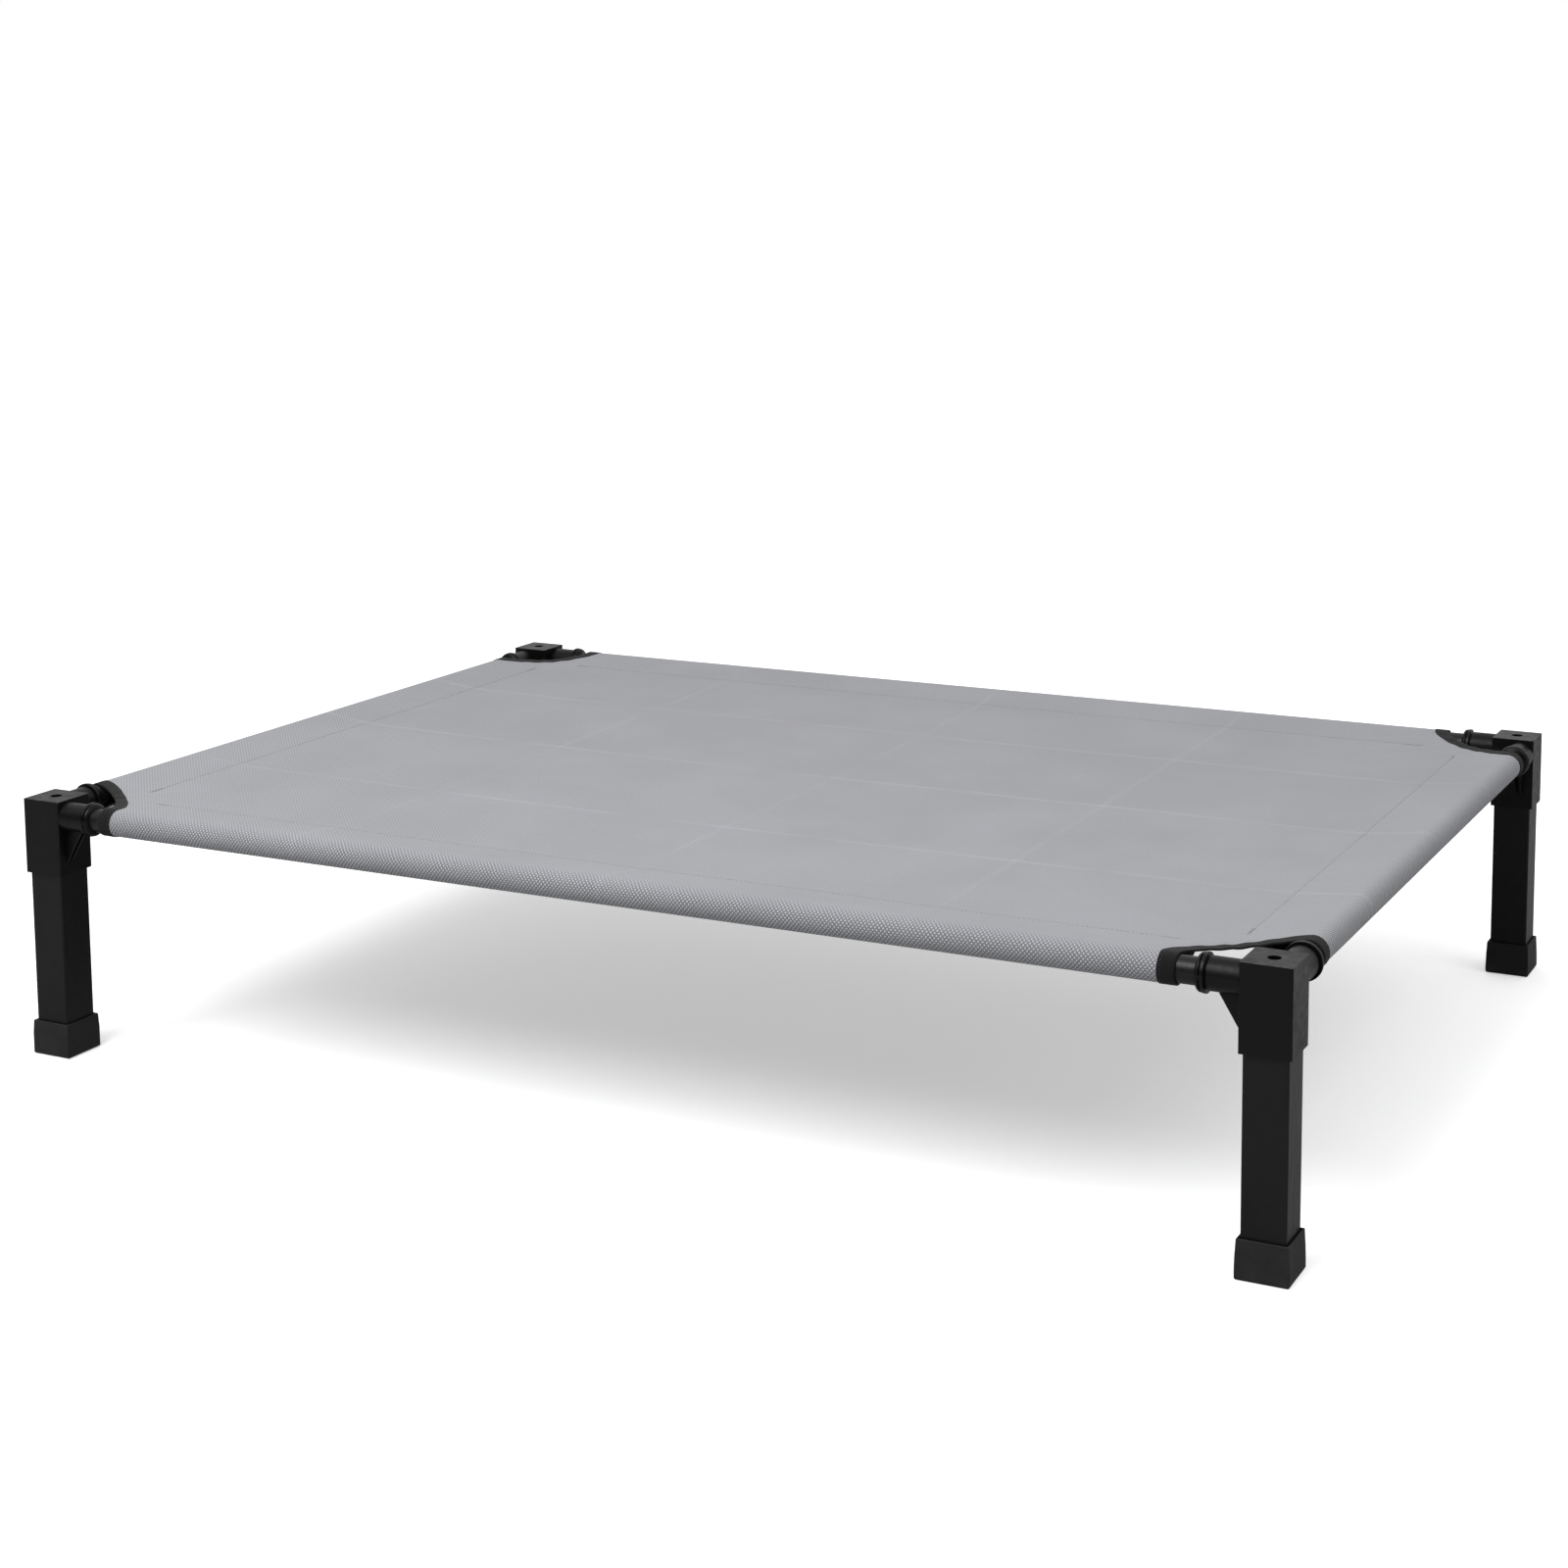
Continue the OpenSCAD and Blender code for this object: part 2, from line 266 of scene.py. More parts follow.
def cloth_point(a, b):
    """Where the pattern points (a, b) lie on the mounted cloth's middle surface."""
    a, b = np.broadcast_arrays(np.asarray(a, float), np.asarray(b, float))
    over_x = np.abs(a) - AXIS_X
    over_y = np.abs(b) - AXIS_Y
    round_x = over_x > 0
    round_y = (over_y > 0) & ~round_x
    length = np.where(round_x, over_x, np.where(round_y, over_y, 0))
    inward = np.interp(length, WRAP_LENGTH, WRAP_INWARD)
    height = np.interp(length, WRAP_LENGTH, WRAP_HEIGHT)
    follow = np.interp(length, WRAP_LENGTH, WRAP_FOLLOW)
    x = np.where(round_x, np.sign(a) * (AXIS_X - inward), a)
    y = np.where(round_y, np.sign(b) * (AXIS_Y - inward), b)
    # under the sheet the hem follows its height, without the groove of the seam itself
    flat_sheet = CLOTH_TOP - SEAM_DROP * np.minimum(inward, SEAM) / SEAM
    above = panel_height(x, y)
    wrapped = AXIS_Z + height + follow * (above - flat_sheet)
    z = np.where(round_x | round_y, wrapped, above)
    return np.stack([x, y, z], axis=-1)


def cloth_normal(a, b):
    """The cloth's normal there: up on the sheet, away from the tube on a sleeve."""
    step = 0.1 * MM
    along = cloth_point(a + step, b) - cloth_point(a - step, b)
    across = cloth_point(a, b + step) - cloth_point(a, b - step)
    normal = np.cross(along, across)
    return normal / np.linalg.norm(normal, axis=-1, keepdims=True)


# ---- the cut corners ----

# Weight of each inner knot of a cubic curve at the curve's middle
KNOT_WEIGHT = 0.375


def scoop_curve(corner, share):
    """Edge of a cut corner, as distances inward from the two tube axes.

    share runs from 0, at the open end of the long tube's sleeve, to 1, at the short tube's.
    Returns the points and the directions that point into the cloth.
    """
    mouth_x, mouth_y = MOUTHS[corner]
    lead_x = (SCOOP - mouth_x / 2) / KNOT_WEIGHT
    lead_y = (SCOOP - mouth_y / 2) / KNOT_WEIGHT
    knots = np.array([(mouth_x, 0), (mouth_x, lead_y), (lead_x, mouth_y), (0, mouth_y)])
    t = np.asarray(share, float)[..., None]
    point = ((1 - t) ** 3 * knots[0] + 3 * (1 - t) ** 2 * t * knots[1]
             + 3 * (1 - t) * t ** 2 * knots[2] + t ** 3 * knots[3])
    slope = (3 * (1 - t) ** 2 * (knots[1] - knots[0]) + 6 * (1 - t) * t * (knots[2] - knots[1])
             + 3 * t ** 2 * (knots[3] - knots[2]))
    slope = slope / np.linalg.norm(slope, axis=-1, keepdims=True)
    return point, np.stack([slope[..., 1], -slope[..., 0]], axis=-1)


def offset_curve(corner, share, inset):
    point, into = scoop_curve(corner, share)
    return point + np.asarray(inset, float)[..., None] * into


def to_pattern(corner, inward):
    """Pattern point from distances inward from the two tube axes of a corner."""
    sx, sy = CORNERS[corner]
    inward = np.asarray(inward, float)
    return sx * (AXIS_X - inward[..., 0]), sy * (AXIS_Y - inward[..., 1])


# ---- mesh helpers ----

def new_object(name, points, faces, material, pattern=None, smooth=True):
    mesh = bpy.data.meshes.new(name)
    mesh.from_pydata([tuple(p) for p in points], [], faces)
    mesh.materials.append(material)
    mesh.polygons.foreach_set("use_smooth", [smooth] * len(mesh.polygons))
    if pattern is not None:
        layer = mesh.uv_layers.new(name="pattern")
        corners = np.empty(len(mesh.loops), int)
        mesh.loops.foreach_get("vertex_index", corners)
        layer.data.foreach_set("uv", np.asarray(pattern, np.float32)[corners].ravel())
    mesh.update()
    piece = bpy.data.objects.new(name, mesh)
    bpy.context.scene.collection.objects.link(piece)
    return piece


class Patchwork:
    """Quads on the flat pattern, whose patches share the points on their common borders."""

    def __init__(self):
        self.points = []
        self.faces = []
        self.index = {}

    def point(self, a, b):
        """Number of a point. Points that agree to a micrometre are the same one."""
        key = (round(a * 1e6), round(b * 1e6))
        if key not in self.index:
            self.index[key] = len(self.points)
            self.points.append((a, b))
        return self.index[key]

    def patch(self, a, b):
        """Adds a grid of pattern points. It turns each quad so that the sheet faces up."""
        rows, columns = a.shape
        ids = [[self.point(a[i, j], b[i, j]) for j in range(columns)] for i in range(rows)]
        for i in range(rows - 1):
            for j in range(columns - 1):
                quad = [ids[i][j], ids[i + 1][j], ids[i + 1][j + 1], ids[i][j + 1]]
                if self.area(quad) < 0:
                    quad.reverse()
                self.faces.append(quad)

    def area(self, quad):
        p = [self.points[k] for k in quad]
        return sum(p[k - 1][0] * p[k][1] - p[k][0] * p[k - 1][1] for k in range(len(p))) / 2


def thick_shell(faces, count):
    """Faces of a closed shell: the faces, a copy turned over, and the rim between them."""
    edges = {}
    for face in faces:
        for k in range(len(face)):
            edges[(face[k - 1], face[k])] = True
    shell = list(faces)
    shell += [[k + count for k in reversed(face)] for face in faces]
    shell += [[b, a, a + count, b + count] for a, b in edges if (b, a) not in edges]
    return shell


# ---- the cover ----

# Distances inward from a tube's axis at which the sheet has a row of points
NEAR_ROWS = [0, 1, 3, 6, 10, 15, 21, 27, 33, 39, 42.5, 44.6, 46, 47.4, 49.5, 53, 58]
SHEET_STEP = 6 * MM
PATCH_STEP = 7 * MM
# Packing folds are followed by closer rows, as far as this on both sides
FOLD_STEP = 1.5 * MM
FOLD_REACH = 9 * MM


def near_rows(patch):
    """Rows from the tube's axis to the far side of a corner patch."""
    rows = [d * MM for d in NEAR_ROWS]
    left = patch - rows[-1]
    count = max(1, round(left / PATCH_STEP))
    return rows + [rows[-1] + left * (k + 1) / count for k in range(count)]


def rows_on_folds(rows, direction):
    """The same rows, with closer ones where a packing fold of that direction crosses them."""
    near = FOLD_STEP * np.arange(-round(FOLD_REACH / FOLD_STEP), round(FOLD_REACH / FOLD_STEP) + 1)
    close = [place + near for along_y, place, _ in PACKING_FOLDS if along_y == direction]
    kept = [row for row in rows if all(np.abs(fold - row).min() > FOLD_STEP for fold in close)]
    return sorted([*kept, *np.concatenate(close)])


def line_of_rows(half, start_patch, end_patch, direction):
    """Coordinates of all rows across the sheet, from the negative side to the positive one."""
    start = [-half + d for d in near_rows(start_patch)]
    end = [half - d for d in reversed(near_rows(end_patch))]
    count = round((end[0] - start[-1]) / SHEET_STEP)
    inner = [start[-1] + (end[0] - start[-1]) * k / count for k in range(1, count)]
    inner = rows_on_folds(inner, direction)
    return np.array(start + inner + end), len(start), len(end)


def wrap_rows():
    """Lengths round the tube at which a sleeve has a row of points."""
    arc = np.linspace(0, ARC_END, 29)
    flap = np.linspace(ARC_END, FLAP_END, 7)[1:]
    hem = np.linspace(FLAP_END, FOLD_START, 4)[1:]
    fold = np.linspace(FOLD_START, FOLD_END, 5)[1:]
    back = np.linspace(FOLD_END, WRAP_END, 4)[1:]
    return np.concatenate([arc, flap, hem, fold, back])


def corner_patch(corner, xs, ys):
    """Grid between a corner of the inner rectangle and the strip along the cut edge.

    xs and ys are distances inward from the tube axes, from the rectangle to the tubes.
    """
    far_x, far_y = xs[0], ys[0]
    s = (1 - np.array(xs) / far_x)[:, None]
    t = (1 - np.array(ys) / far_y)[None, :]
    top = offset_curve(corner, s[:, 0] / 2, EDGE_STRIP)[:, None, :]
    right = offset_curve(corner, 1 - t[0] / 2, EDGE_STRIP)[None, :, :]
    centre = np.array([far_x, far_y])
    end_top = np.array([far_x, 0])
    end_right = np.array([0, far_y])
    mid = offset_curve(corner, np.array(0.5), EDGE_STRIP)
    s3, t3 = s[..., None], t[..., None]
    bottom = centre - s3 * np.array([far_x, 0])
    left = centre - t3 * np.array([0, far_y])
    return ((1 - t3) * bottom + t3 * top + (1 - s3) * left + s3 * right
            - (1 - s3) * (1 - t3) * centre - s3 * (1 - t3) * end_right
            - (1 - s3) * t3 * end_top - s3 * t3 * mid)


def strip_grid(corner, xs, ys, sleeve_rows):
    """Grid along the cut edge: from one hem round its sleeve, across the corner, to the other."""
    mouth_x, mouth_y = MOUTHS[corner]
    insets = EDGE_STRIP * np.array([1, 0.83, 0.63, 0.43, 0.23, 0.1, 0])
    rows = []
    for length in reversed(sleeve_rows[1:]):
        rows.append(np.stack([mouth_x + insets, np.full(len(insets), -length)], axis=-1))
    shares = [(1 - x / xs[0]) / 2 for x in xs]
    shares += [1 - (1 - y / ys[0]) / 2 for y in reversed(ys[:-1])]
    for share in shares:
        rows.append(offset_curve(corner, np.full(len(insets), share), insets))
    for length in sleeve_rows[1:]:
        rows.append(np.stack([np.full(len(insets), -length), mouth_y + insets], axis=-1))
    return np.array(rows)


def cover_pattern():
    """The whole flat pattern as a patchwork of quads."""
    cloth = Patchwork()
    patch_x = {sx: MOUTHS["fl" if sx < 0 else "fr"][0] + EDGE_STRIP for sx in (-1, 1)}
    patch_y = {sy: MOUTHS["fl" if sy < 0 else "bl"][1] + EDGE_STRIP for sy in (-1, 1)}
    a_rows, a_start, a_end = line_of_rows(AXIS_X, patch_x[-1], patch_x[1], 1)
    b_rows, b_start, b_end = line_of_rows(AXIS_Y, patch_y[-1], patch_y[1], 0)
    a_mid = a_rows[a_start - 1:len(a_rows) - a_end + 1]
    b_mid = b_rows[b_start - 1:len(b_rows) - b_end + 1]
    cloth.patch(*np.meshgrid(a_rows, b_mid, indexing="ij"))
    for end in (b_rows[:b_start], b_rows[-b_end:]):
        cloth.patch(*np.meshgrid(a_mid, end, indexing="ij"))
    sleeve_rows = wrap_rows()
    for side in (-1, 1):
        cloth.patch(*np.meshgrid(a_mid, side * (AXIS_Y + sleeve_rows), indexing="ij"))
        cloth.patch(*np.meshgrid(side * (AXIS_X + sleeve_rows), b_mid, indexing="ij"))
    for corner, (sx, sy) in CORNERS.items():
        xs = near_rows(patch_x[sx])[::-1]
        ys = near_rows(patch_y[sy])[::-1]
        cloth.patch(*to_pattern(corner, corner_patch(corner, xs, ys)))
        cloth.patch(*to_pattern(corner, strip_grid(corner, xs, ys, sleeve_rows)))
    return cloth


def make_cover(material):
    """The cover, the size of its flat sheet, and its area."""
    cloth = cover_pattern()
    pattern = np.array(cloth.points)
    place = cloth_point(pattern[:, 0], pattern[:, 1])
    normal = cloth_normal(pattern[:, 0], pattern[:, 1])
    points = np.concatenate([place + normal * CLOTH / 2, place - normal * CLOTH / 2])
    faces = thick_shell(cloth.faces, len(pattern))
    cover = new_object("cover_cloth", points, faces, material, np.concatenate([pattern, pattern]))
    area = sum(cloth.area(face) for face in cloth.faces)
    flat = (2 * (AXIS_X + WRAP_END), 2 * (AXIS_Y + WRAP_END))
    return cover, flat, area


# ---- tape on the cut corners ----

TAPE_STEP = 1.1 * MM
# How far the tape runs on over the flap below a tube
TAPE_FLAP = 24 * MM
EDGE_SAMPLES = 400
# How far the tape's edge on the cloth strays, and over what length
TAPE_WANDER = 0.25 * MM
TAPE_WANDER_LENGTH = 30 * MM


def edge_path(corner, step):
    """Evenly spaced places along a cut edge, from one flap round both sleeves to the other.

    Returns how far along the tape each place is, the edge's distances inward from the tube
    axes, the directions into the cloth and the width of the tape.
    """
    lap = ARC_END + TAPE_FLAP
    shares = np.linspace(0, 1, EDGE_SAMPLES)
    curve = scoop_curve(corner, shares)[0]
    along = np.concatenate([[0], np.cumsum(np.linalg.norm(np.diff(curve, axis=0), axis=1))])
    total = 2 * lap + along[-1]
    count = round(total / step)
    run = np.linspace(0, total, count + 1)
    on_curve = np.clip(run - lap, 0, along[-1])
    share = np.interp(on_curve, along, shares)
    point, into = scoop_curve(corner, share)
    before = np.minimum(run - lap, 0)
    after = np.maximum(run - lap - along[-1], 0)
    point = point + np.stack([-after, before], axis=-1)
    width = TAPE_WIDTH + (TAPE_MIDDLE_WIDTH - TAPE_WIDTH) * np.sin(math.pi * share)
    return run, point, into, width


# Place of the stitches, as a share of the tape's width
TAPE_STITCH = 0.82


def tape_section():
    """Closed outline of the folded tape: (distance into the cloth, distance from its middle)."""
    inner = CLOTH / 2 + TAPE_GAP
    outer = inner + TAPE
    # shares of the width, and how far the tape swells or is pulled in there
    swell = [(1, 0), (0.97, 0.02), (0.89, 0.03), (TAPE_STITCH, -0.12), (0.75, 0.02), (0.56, 0.05),
             (0.32, 0.05), (0.12, 0)]
    top = [(share * TAPE_WIDTH, outer + rise * MM) for share, rise in swell]
    turns = np.radians(np.arange(90, -91, -22.5))
    bend = [(-outer * math.cos(a), outer * math.sin(a)) for a in turns]
    under = [(inset, -lift) for inset, lift in reversed(top)]
    shares = (0.08, 0.4, 0.72, 1)
    back = [(share * TAPE_WIDTH, -inner) for share in reversed(shares)]
    turns = np.radians(np.arange(-90, 91, 36))
    hollow = [(-inner * math.cos(a), inner * math.sin(a)) for a in turns]
    end = [(share * TAPE_WIDTH, inner) for share in shares]
    return np.array(top + bend + under + back + hollow + end)


def edge_surface(corner, point, into, inset, lift):
    """Points at insets into the cloth and lifts off its middle, at places along a cut edge."""
    covered = np.maximum(inset, 0)
    a, b = to_pattern(corner, point + covered[..., None] * into)
    edge_a, edge_b = to_pattern(corner, point)
    near_a, near_b = to_pattern(corner, point + 0.2 * MM * into)
    tangent = cloth_point(near_a, near_b) - cloth_point(edge_a, edge_b)
    tangent = tangent / np.linalg.norm(tangent, axis=-1, keepdims=True)
    return (cloth_point(a, b) + cloth_normal(a, b) * lift[..., None]
            + tangent * np.minimum(inset, 0)[..., None])


def make_tape(corner, material):
    run, point, into, width = edge_path(corner, TAPE_STEP)
    section = tape_section()
    rows, sides = len(run), len(section)
    inset = np.broadcast_to(section[:, 0], (rows, sides))
    lift = np.broadcast_to(section[:, 1], (rows, sides))
    wander = TAPE_WANDER * ripple(run, run * 0, TAPE_WANDER_LENGTH, seed=31)[:, None]
    inset = inset + wander * (inset > TAPE_WIDTH / 2)
    inset = np.where(inset > 0, inset * width[:, None] / TAPE_WIDTH, inset)
    points = edge_surface(corner, point[:, None, :], into[:, None, :], inset, lift)
    faces = []
    for i in range(rows - 1):
        for j in range(sides):
            k = (j + 1) % sides
            faces.append([i * sides + j, i * sides + k, (i + 1) * sides + k, (i + 1) * sides + j])
    faces.append(list(range(sides))[::-1])
    faces.append([(rows - 1) * sides + j for j in range(sides)])
    if CORNERS[corner][0] * CORNERS[corner][1] < 0:
        faces = [face[::-1] for face in faces]
    lengths = np.linalg.norm(np.diff(section, axis=0), axis=1)
    around = np.concatenate([[0], np.cumsum(lengths)])
    pattern = np.stack(np.broadcast_arrays(run[:, None], around[None, :]), axis=-1).reshape(-1, 2)
    return new_object("binding_tape_" + corner, points.reshape(-1, 3), faces, material, pattern)


# ---- sewing ----

def stitch_shape(length, radius):
    """One stitch: a short thread whose ends dive into the cloth."""
    sides = 6
    places = (-0.5, -0.36, 0, 0.36, 0.5)
    spans = len(places) - 1
    points = []
    for place in places:
        bend = radius * (0.55 - 1.3 * (2 * abs(place)) ** 4)
        size = radius * (0.5 if abs(place) == 0.5 else 1)
        for k in range(sides):
            turn = 2 * math.pi * k / sides
            points.append((place * length, size * math.cos(turn), bend + size * math.sin(turn) * 0.8))
    faces = []
    for i in range(spans):
        for k in range(sides):
            k2 = (k + 1) % sides
            faces.append([i * sides + k, i * sides + k2, (i + 1) * sides + k2, (i + 1) * sides + k])
    faces += [list(range(sides))[::-1], [spans * sides + k for k in range(sides)]]
    return np.array(points), faces


def sew(name, rows, length, radius, material):
    """One mesh of stitches. Each row gives their places, directions and surface normals."""
    shape, shape_faces = stitch_shape(length, radius)
    points, faces = [], []
    for place, along, normal in rows:
        along = along / np.linalg.norm(along, axis=-1, keepdims=True)
        across = np.cross(normal, along)
        stitch = (place[:, None, :]
                  + along[:, None, :] * shape[None, :, 0:1]
                  + across[:, None, :] * shape[None, :, 1:2]
                  + normal[:, None, :] * shape[None, :, 2:3])
        for one in stitch:
            base = len(points)
            points.extend(one)
            faces.extend([base + k for k in face] for face in shape_faces)
    return new_object(name, points, faces, material)


SEAM_PITCH = 3.6 * MM
TAPE_STITCH_PITCH = 3.2 * MM
# Back stitches at both ends of a seam: how far they run, their pitch and how far off the row
TACK_LENGTH = 16 * MM
TACK_PITCH = 1.9 * MM
TACK_SHIFT = 0.8 * MM
STITCH_SINK = 0.08 * MM


def seam_row(axis, side, start, end, pitch=SEAM_PITCH, shift=0.0):
    """Stitch places along one hem seam, on top of the sheet and under the hem."""
    count = round((end - start) / pitch)
    run = start + (end - start) * (np.arange(count) + 0.5) / count
    half = (AXIS_X, AXIS_Y)[axis]
    across = np.full(count, side * (half - SEAM + shift))
    a, b = (across, run) if axis == 0 else (run, across)
    place = cloth_point(a, b)
    normal = cloth_normal(a, b)
    along = cloth_point(a + (axis == 1) * MM, b + (axis == 0) * MM) - place
    return place, along, normal


def seam_rows():
    """All four hem seams: a top row, a row under the hem, and a denser end to each."""
    rows = []
    for side in (-1, 1):
        ends = [MOUTHS[c] for c in (("fl", "bl") if side < 0 else ("fr", "br"))]
        spans = [(0, -AXIS_Y + ends[0][1] + TAPE_WIDTH, AXIS_Y - ends[1][1] - TAPE_WIDTH)]
        ends = [MOUTHS[c] for c in (("fl", "fr") if side < 0 else ("bl", "br"))]
        spans.append((1, -AXIS_X + ends[0][0] + TAPE_WIDTH, AXIS_X - ends[1][0] - TAPE_WIDTH))
        for axis, start, end in spans:
            place, along, normal = seam_row(axis, side, start, end)
            rows.append((place + normal * CLOTH / 2, along, normal))
            rows.append((place - normal * (2 * LAYER + CLOTH / 2), along, -normal))
            for low, high in ((start, start + TACK_LENGTH), (end - TACK_LENGTH, end)):
                for shift in (-TACK_SHIFT, TACK_SHIFT):
                    place, along, normal = seam_row(axis, side, low, high, TACK_PITCH, shift)
                    rows.append((place + normal * CLOTH / 2, along, normal))
    return rows


def tape_rows():
    """Stitches along all four tapes, on both faces."""
    rows = []
    for corner in CORNERS:
        # two places at each end of the tape stay free
        point, into, width = (part[2:-2] for part in edge_path(corner, TAPE_STITCH_PITCH)[1:])
        a, b = to_pattern(corner, point + TAPE_STITCH * width[:, None] * into)
        place, normal = cloth_point(a, b), cloth_normal(a, b)
        along = np.gradient(place, axis=0)
        lift = CLOTH / 2 + TAPE_GAP + TAPE - STITCH_SINK
        rows.append((place + normal * lift, along, normal))
        rows.append((place - normal * lift, along, -normal))
    return rows


# ---- materials ----

class Nodes:
    """Short calls that build a material's node tree."""

    def __init__(self, name):
        self.material = bpy.data.materials.new(name)
        self.material.use_nodes = True
        self.tree = self.material.node_tree
        self.shader = self.tree.nodes["Principled BSDF"]

    def add(self, kind, **settings):
        node = self.tree.nodes.new(kind)
        for key, value in settings.items():
            setattr(node, key, value)
        return node

    def feed(self, socket, value):
        if isinstance(value, bpy.types.NodeSocket):
            self.tree.links.new(value, socket)
        else:
            socket.default_value = value

    def math(self, operation, a, b=0.0, c=0.0):
        node = self.add("ShaderNodeMath", operation=operation)
        for socket, value in zip(node.inputs, (a, b, c)):
            self.feed(socket, value)
        return node.outputs[0]

    def noise(self, place, scale, detail=3.0, roughness=0.55):
        node = self.add("ShaderNodeTexNoise")
        self.feed(node.inputs["Vector"], place)
        self.feed(node.inputs["Scale"], scale)
        self.feed(node.inputs["Detail"], detail)
        self.feed(node.inputs["Roughness"], roughness)
        return node.outputs["Fac"]

    def ramp(self, value, low, high, to_low=0.0, to_high=1.0):
        node = self.add("ShaderNodeMapRange", interpolation_type="SMOOTHSTEP")
        for socket, number in zip(node.inputs, (value, low, high, to_low, to_high)):
            self.feed(socket, number)
        return node.outputs[0]

    def blend(self, share, first, second):
        node = self.add("ShaderNodeMix", data_type="RGBA")
        self.feed(node.inputs["Factor"], share)
        self.feed(node.inputs["A"], first)
        self.feed(node.inputs["B"], second)
        return node.outputs["Result"]

    def bump(self, height, distance, strength=1.0):
        node = self.add("ShaderNodeBump")
        self.feed(node.inputs["Height"], height)
        self.feed(node.inputs["Distance"], distance)
        self.feed(node.inputs["Strength"], strength)
        return node.outputs[0]

    def place(self):
        return self.add("ShaderNodeTexCoord").outputs["Object"]

    def pattern(self):
        return self.add("ShaderNodeUVMap", uv_map="pattern").outputs[0]

    def split(self, vector):
        node = self.add("ShaderNodeSeparateXYZ")
        self.feed(node.inputs[0], vector)
        return node.outputs[0], node.outputs[1]


def grey(value):
    return (value, value, value, 1)


def fold_highlight_lines(n, a, b):
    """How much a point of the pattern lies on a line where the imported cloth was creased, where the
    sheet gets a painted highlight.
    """
    total = 0.0
    for along_y, place, height in PACKING_FOLDS:
        across, run = (a, b) if along_y else (b, a)
        wander = n.math("SINE", n.math("MULTIPLY_ADD", run, FOLD_WAVES, place * FOLD_PHASE))
        off = n.math("SUBTRACT", n.math("MULTIPLY_ADD", wander, -FOLD_WANDER, across), place)
        # a line's strength follows the height of its fold, which is 1 mm at most
        line = n.ramp(n.math("ABSOLUTE", off), 0.5 * MM, 4.5 * MM, abs(height) / MM, 0.0)
        total = n.math("ADD", total, line)
    return total


CLOTH_TINT = (0.975, 0.985, 1.05)
CLOTH_ALBEDO = 0.253
# Lengths of the weave's floats along the pattern's a and b
FLOAT_A = 1.55 * MM
FLOAT_B = 1.75 * MM


def cloth_material():
    """Coated basket weave: pale floats stand proud between ones that lie lower, and painted shade
    makes the low floats and the gaps between yarns darker.

    The weave lies closed on the flat sheet and opens where the cloth bends round a tube; there its
    bump and its painted shade are strongest.
    """
    n = Nodes("woven_polyester")
    a, b = n.split(n.pattern())
    over_a = n.math("SUBTRACT", n.math("ABSOLUTE", a), AXIS_X)
    over_b = n.math("SUBTRACT", n.math("ABSOLUTE", b), AXIS_Y)
    over = n.math("MAXIMUM", over_a, over_b)
    # the sleeves, where the weave opens and its painted shade is strongest
    opened_and_shaded = n.ramp(over, -3 * MM, 14 * MM)
    wobble = n.math("MULTIPLY", n.noise(n.pattern(), 120, 2), 0.5)
    u = n.math("ADD", n.math("DIVIDE", a, FLOAT_A), wobble)
    v = n.math("ADD", n.math("DIVIDE", b, FLOAT_B), wobble)
    square = n.math("ADD", n.math("FLOOR", u), n.math("FLOOR", v))
    odd = n.math("MODULO", n.math("ABSOLUTE", square), 2)
    across = n.math("SINE", n.math("MULTIPLY", n.math("FRACT", u), math.pi))
    along = n.math("SINE", n.math("MULTIPLY", n.math("FRACT", v), math.pi))
    dome = n.math("MULTIPLY", across, along)
    pale = n.math("MULTIPLY_ADD", n.math("POWER", dome, 0.6), 0.75, 0.25)
    low_float = n.math("MULTIPLY_ADD", n.math("POWER", dome, 0.8), 0.30, 0.10)
    height = n.math("ADD", n.math("MULTIPLY", pale, n.math("SUBTRACT", 1, odd)),
                    n.math("MULTIPLY", low_float, odd))
    patchy = n.noise(n.place(), 9, 4)
    fibre = n.noise(n.pattern(), 2600, 2)
    # inside the seams the sheet is a single layer, pulled smooth
    layered = n.ramp(over, -SEAM - 0.6 * MM, -SEAM + 0.6 * MM)
    # depth of the weave's bump and strength of its painted shade: least on the flat sheet, more on
    # the hem bands, most on the sleeves
    weave_depth_and_shade = n.math("MULTIPLY_ADD", opened_and_shaded, 0.58, n.math("MULTIPLY_ADD", layered, 0.10, 0.17))
    # painted shade: the low floats and the gaps between yarns are darker, the proud floats lighter
    yarn = n.math("SUBTRACT", n.ramp(height, 0.12, 0.90, 0.34, 1.70), 0.92)
    light = n.math("MULTIPLY_ADD", yarn, weave_depth_and_shade, n.math("MULTIPLY_ADD", layered, 0.01, 0.99))
    light = n.math("MULTIPLY", light, n.ramp(patchy, 0.3, 0.7, 0.965, 1.035))
    light = n.math("MULTIPLY", light, n.ramp(fibre, 0.3, 0.7, 0.94, 1.06))
    # painted highlight: the sheet is paler along the packing folds, patchily along their length
    rubbed = n.ramp(n.noise(n.place(), 14), 0.35, 0.65, 0.03, 0.16)
    worn = n.math("MULTIPLY", fold_highlight_lines(n, a, b), rubbed)
    light = n.math("MULTIPLY", light, n.math("ADD", worn, 1))
    colour = n.add("ShaderNodeVectorMath", operation="SCALE")
    n.feed(colour.inputs[0], tuple(CLOTH_ALBEDO * t for t in CLOTH_TINT))
    n.feed(colour.inputs["Scale"], light)
    n.feed(n.shader.inputs["Base Color"], colour.outputs[0])
    n.feed(n.shader.inputs["Roughness"], n.ramp(height, 0.2, 0.9, 0.80, 0.60))
    n.shader.inputs["Specular IOR Level"].default_value = 0.30
    n.shader.inputs["Sheen Weight"].default_value = 0.05
    n.shader.inputs["Sheen Roughness"].default_value = 0.45
    n.feed(n.shader.inputs["Normal"], n.bump(height, 0.35 * MM, weave_depth_and_shade))
    return n.material


TAPE_RIB = 0.8 * MM
TAPE_YARN = 0.55 * MM


